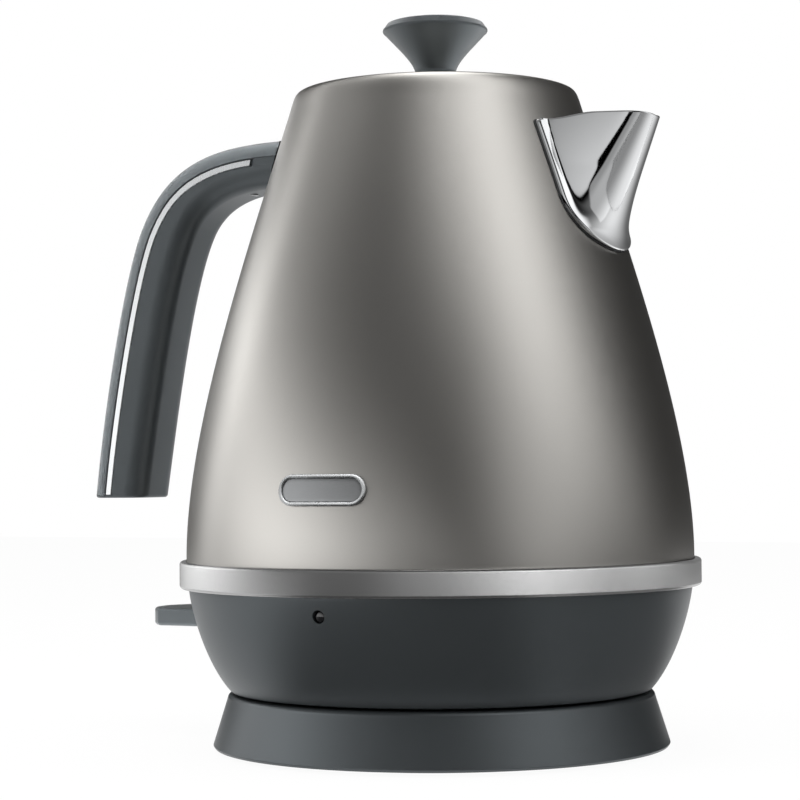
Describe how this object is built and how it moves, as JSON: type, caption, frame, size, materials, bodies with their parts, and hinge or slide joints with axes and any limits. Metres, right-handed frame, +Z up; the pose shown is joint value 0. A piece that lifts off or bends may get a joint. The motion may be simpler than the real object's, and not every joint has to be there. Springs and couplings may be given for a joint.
{
  "type": "electric kettle",
  "caption": "Cordless electric kettle on a round power base, with a tapered metal body, a lift-off knobbed lid, a pouring spout, a side handle and a rocker switch lever.",
  "frame": {"origin": "on the kettle's upright axis, at the surface that the power base stands on", "axes": "+Z up, +X from the axis towards the spout, -X towards the handle and the switch lever, +Y towards the side where the mains cord leaves the base"},
  "size_m": [0.223, 0.176, 0.2473],
  "materials": {
    "slate_plastic": "fine-grained satin moulding",
    "black_plastic": "plain moulding",
    "silicone": "soft matt",
    "champagne_lacquer": "satin metallic lacquer on steel",
    "satin_steel": "satin",
    "chrome_plate": "polished",
    "satin_aluminium": "satin",
    "badge_plate": "fine brushed",
    "stainless_steel": "brushed",
    "zinc_steel": "zinc plated",
    "spreader_aluminium": "as rolled",
    "element_sheath": "oxidised",
    "contact_brass": "bright",
    "bimetal": "plain",
    "cream_plastic": "plain moulding",
    "brown_resin": "plain moulding",
    "wire_red": "braided sleeve",
    "wire_brown": "sleeve",
    "clear_plastic": "clear",
    "black_gloss": "glossy",
    "lamp_glass": "diffusing"
  },
  "bodies": {
    "base": {"base_housing": "slate_plastic", "base_plate": "slate_plastic", "base_foot_ring": "silicone", "base_screws": "zinc_steel", "base_connector": "black_plastic", "connector_insert": "brown_resin", "connector_contacts": "contact_brass", "cord_gland": "black_plastic", "terminal_block": "cream_plastic", "base_leads": "wire_brown"},
    "socket": {"socket": "black_plastic", "socket_contacts": "contact_brass"},
    "kettle": {"body_shell": "champagne_lacquer", "mouth_ring": "black_plastic", "trim_ring": "satin_steel", "lower_housing": "slate_plastic", "bottom_cover": "slate_plastic", "cover_screws": "zinc_steel", "floor_plate": "stainless_steel", "floor_gasket": "silicone", "heat_spreader": "spreader_aluminium", "heating_element": "element_sheath", "control_unit": "cream_plastic", "bimetal_discs": "bimetal", "switch_block": "cream_plastic", "steam_tube": "cream_plastic", "kettle_leads": "wire_red", "spout": "chrome_plate", "spout_gasket": "silicone", "filter_clips": "stainless_steel", "handle_spine": "slate_plastic", "handle_grip": "slate_plastic", "handle_inlays": "satin_aluminium", "handle_end_cap": "slate_plastic", "handle_pad": "silicone", "handle_bracket": "zinc_steel", "handle_screws": "zinc_steel", "gauge_window": "clear_plastic", "gauge_seal": "silicone", "badge_rim": "satin_aluminium", "badge_field": "badge_plate", "pilot_lens": "black_gloss", "pilot_lamp": "lamp_glass"},
    "filter": {"filter_frame": "black_plastic", "filter_mesh": "stainless_steel"},
    "lid": {"lid_cap": "champagne_lacquer", "lid_inner": "black_plastic", "lid_seal": "silicone", "knob": "slate_plastic", "knob_screw": "zinc_steel"},
    "lever": {"power_lever": "slate_plastic", "lever_pin": "stainless_steel"},
    "push_rod": {"push_rod": "cream_plastic"}
  },
  "joints": [
    {"name": "kettle_lift", "type": "slide", "parent": "base", "child": "socket", "axis": [0, 0, 1], "range_m": [0, 0.08]},
    {"name": "kettle_swivel", "type": "hinge", "parent": "socket", "child": "kettle", "pos_m": [0, 0, 0.03], "axis": [0, 0, 1], "continuous": true},
    {"name": "lid_lift", "type": "slide", "parent": "kettle", "child": "lid", "axis": [0, 0, 1], "range_m": [0, 0.05]},
    {"name": "filter_pull", "type": "slide", "parent": "kettle", "child": "filter", "axis": [-1, 0, 0], "range_m": [0, 0.012]},
    {"name": "lever_press", "type": "hinge", "parent": "kettle", "child": "lever", "pos_m": [-0.07, 0, 0.0424], "axis": [0, -1, 0], "range_deg": [0, 10]},
    {"name": "push_rod_slide", "type": "slide", "parent": "kettle", "child": "push_rod", "axis": [0, 0, 1], "range_m": [0, 0.0018]}
  ],
  "couplings": [
    {"joint": "push_rod_slide", "follows": "lever_press", "m_per_rad": 0.0095}
  ]
}
